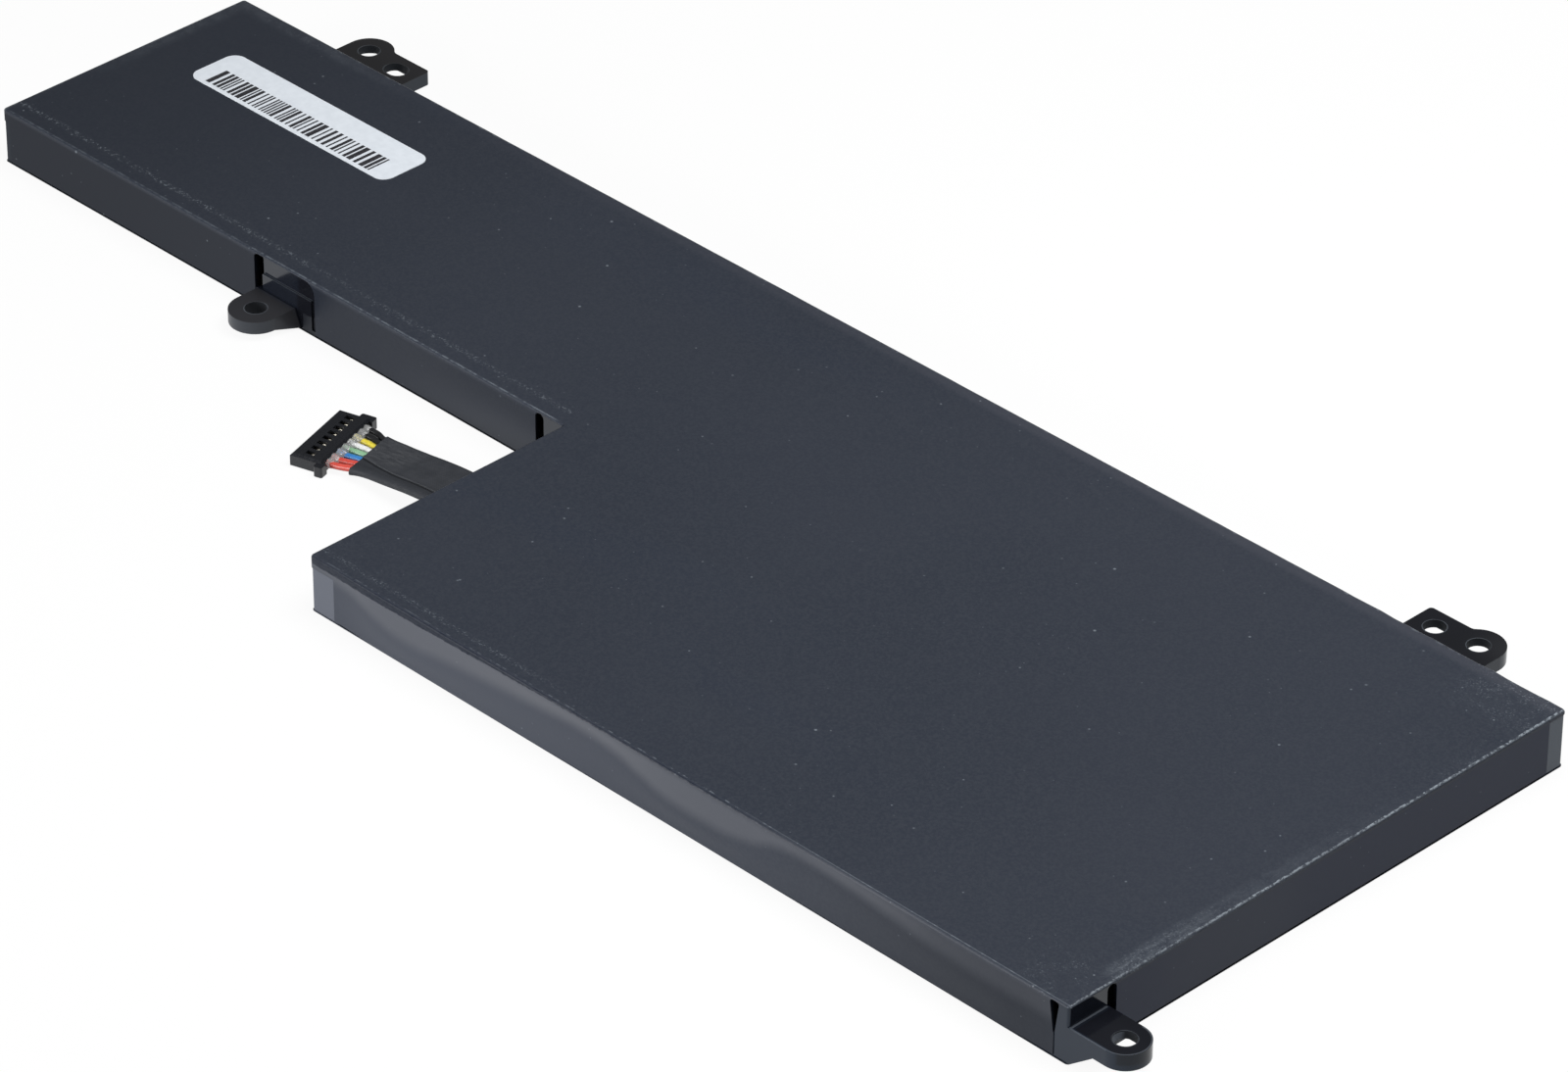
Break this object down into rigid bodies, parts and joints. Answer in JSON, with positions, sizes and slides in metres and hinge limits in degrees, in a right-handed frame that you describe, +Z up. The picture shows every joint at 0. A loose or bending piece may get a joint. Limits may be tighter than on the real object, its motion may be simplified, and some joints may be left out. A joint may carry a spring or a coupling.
{
  "type": "laptop battery",
  "caption": "Flat L-shaped pouch-cell battery pack wrapped in film, with screw lugs at its edges and a short wired plug at the inner corner.",
  "frame": {"origin": "middle of the base of the pack's own bounding box, without the loose lead, on the surface that it lies on", "axes": "+X runs along the pack from the end of its narrow arm to the end with the corner lug, +Y from the edge beside the lead to the long straight back edge, +Z up from the underside to the labelled face"},
  "size_m": [0.2778, 0.1061, 0.0092],
  "materials": {
    "film": "smooth dark slate polyester film, soft sheen",
    "frame": "fine moulded dark grey plastic",
    "tape": "thin double-sided tape",
    "pouch": "satin laminated foil",
    "positive_tab": "bare foil",
    "nickel": "plated strip",
    "flex_circuit": "amber polyimide over copper",
    "amber_tape": "thin polyimide tape",
    "board": "solder-masked glass laminate",
    "chip_black": "moulded epoxy",
    "ceramic": "fired ceramic",
    "solder": "bright solder",
    "paper": "insulating paper",
    "foam": "soft cellular foam",
    "sleeve": "matte dark cloth tape",
    "plug_black": "moulded nylon",
    "contacts": "gold-plated",
    "glue": "milky soft glue",
    "label": "coated white paper with plain dark bars",
    "wire_red": "smooth wire insulation",
    "wire_blue": "smooth wire insulation",
    "wire_green": "smooth wire insulation",
    "wire_white": "smooth wire insulation",
    "wire_yellow": "smooth wire insulation",
    "wire_black": "smooth wire insulation"
  },
  "bodies": {
    "root": {"frame": "frame", "top_film": "film", "bottom_film": "film", "cell_1": "pouch", "cell_2": "pouch", "cell_3": "pouch", "cell_4": "pouch", "cell_5": "pouch", "cell_6": "pouch", "cell_tapes": "tape", "positive_tabs": "positive_tab", "negative_tabs": "nickel", "link_circuit": "flex_circuit", "weld_pads": "nickel", "tab_tapes": "amber_tape", "temperature_sensor": "ceramic", "board": "board", "fuse": "ceramic", "power_switches": "chip_black", "sense_resistor": "chip_black", "gauge_chip": "chip_black", "capacitors": "ceramic", "solder_joints": "solder", "insulation_paper": "paper", "foam_strip": "foam", "cable_sleeve": "sleeve", "plug_housing": "plug_black", "plug_terminals": "contacts", "plug_glue": "glue", "barcode_label": "label", "wire_red_1": "wire_red", "wire_red_2": "wire_red", "wire_blue": "wire_blue", "wire_green": "wire_green", "wire_white": "wire_white", "wire_yellow": "wire_yellow", "wire_black_1": "wire_black", "wire_black_2": "wire_black"}
  },
  "joints": []
}
